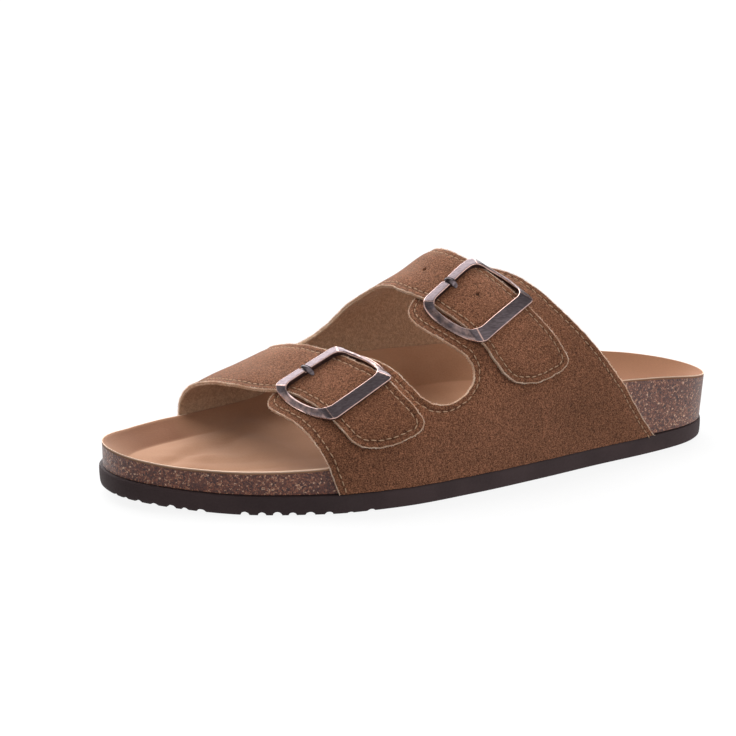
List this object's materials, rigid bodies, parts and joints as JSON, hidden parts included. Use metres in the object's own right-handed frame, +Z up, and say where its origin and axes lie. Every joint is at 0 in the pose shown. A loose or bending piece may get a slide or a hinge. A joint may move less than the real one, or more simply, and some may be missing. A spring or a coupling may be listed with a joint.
{
  "type": "strap sandal",
  "caption": "Left open-toe sandal with a contoured cork footbed, suede straps that lap over the outer quarter and buckle there, and a flat outsole with a slight toe spring.",
  "frame": {"origin": "on the floor, under the middle of the bounding box", "axes": "+X towards the toe, +Y towards the outer (buckle) side of this left shoe, +Z up"},
  "size_m": [0.2766, 0.1075, 0.0905],
  "materials": {
    "outsole_rubber": "matt dark brown foam rubber",
    "cork": "sealed dark granulated cork",
    "insole_suede": "light tan suede",
    "upper_suede": "brown suede with raw cut edges",
    "buckle_metal": "antique copper, brushed, bright on the edges"
  },
  "bodies": {
    "root": {"outsole": "outsole_rubber", "footbed": "cork", "insole": "insole_suede", "upper": "upper_suede", "buckle_front": "buckle_metal", "buckle_rear": "buckle_metal", "buckle_pin_front": "buckle_metal", "buckle_pin_rear": "buckle_metal"}
  },
  "joints": []
}
